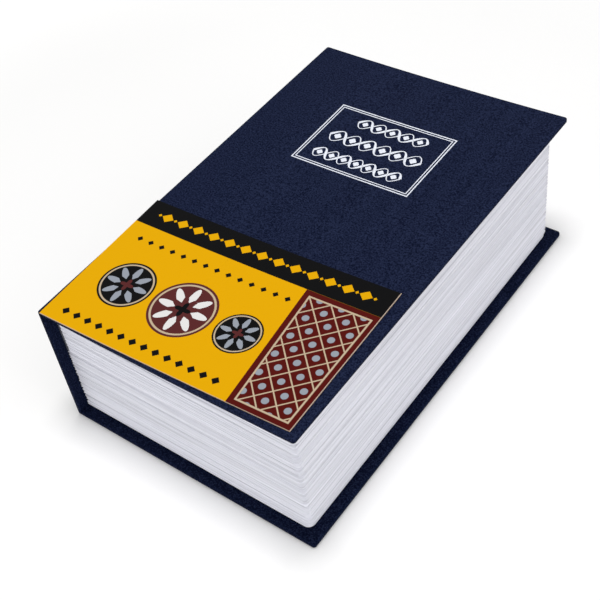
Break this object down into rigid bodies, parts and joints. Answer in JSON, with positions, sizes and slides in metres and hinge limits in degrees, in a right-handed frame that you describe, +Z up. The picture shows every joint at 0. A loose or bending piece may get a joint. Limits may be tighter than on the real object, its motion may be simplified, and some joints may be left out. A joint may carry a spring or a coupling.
{
  "type": "book diversion safe",
  "caption": "Cash safe disguised as a closed cloth-bound book: hinged front cover over a recessed steel lid with a cam lock, and a steel tray inside moulded page edges.",
  "frame": {"origin": "middle of the back cover's underside, where the safe rests", "axes": "+X from the spine to the fore-edge, +Y from the tail to the head, +Z up out of the front cover"},
  "size_m": [0.115, 0.18, 0.0632],
  "materials": {
    "board": "matte grey board",
    "cloth": "navy book cloth",
    "endpaper": "matte dark paper",
    "pages": "white moulded, satin",
    "tray": "dark grey powder coat",
    "lid": "grey paint, satin",
    "hinge": "plain steel",
    "bright": "bright plate",
    "plug": "brass, nickel washed",
    "card": "printed gloss card"
  },
  "bodies": {
    "case": {"back_board": "board", "spine_board": "board", "back_cloth": "cloth", "spine_cloth": "cloth", "back_pastedown": "endpaper", "page_block": "pages", "safe_tray": "tray", "hinge_leaf_fixed": "hinge", "hinge_pin": "bright", "strike_bracket": "hinge", "tray_screw_1": "bright", "hinge_rivet_1": "bright", "tray_screw_2": "bright", "hinge_rivet_2": "bright", "tray_screw_3": "bright", "hinge_rivet_3": "bright", "tray_screw_4": "bright", "hinge_rivet_4": "bright", "strike_rivet_1": "bright", "strike_rivet_2": "bright"},
    "cover": {"cover_board": "board", "cover_cloth": "cloth", "cover_pastedown": "endpaper", "front_label": "card"},
    "lid": {"lid_panel": "lid", "lid_hinge_leaf": "hinge", "lid_rivet_1": "bright", "lid_rivet_2": "bright", "lid_rivet_3": "bright", "lid_rivet_4": "bright", "lock_case": "bright", "lock_body": "bright", "lock_nut": "bright"},
    "lock": {"key_plug": "plug", "lock_cam": "bright", "cam_screw": "bright"}
  },
  "joints": [
    {"name": "cover_hinge", "type": "hinge", "parent": "case", "child": "cover", "pos_m": [-0.05505, 0, 0.0605], "axis": [0, -1, 0], "range_deg": [0, 180]},
    {"name": "lid_hinge", "type": "hinge", "parent": "case", "child": "lid", "pos_m": [-0.05345, 0, 0.0557], "axis": [0, -1, 0], "range_deg": [0, 100]},
    {"name": "lock_turn", "type": "hinge", "parent": "lid", "child": "lock", "pos_m": [0.0321, 0, 0.0541], "axis": [0, 0, -1], "range_deg": [0, 90]}
  ],
  "couplings": [
    {"joint": "lid_hinge", "follows": "cover_hinge", "ratio": 0.55556}
  ]
}
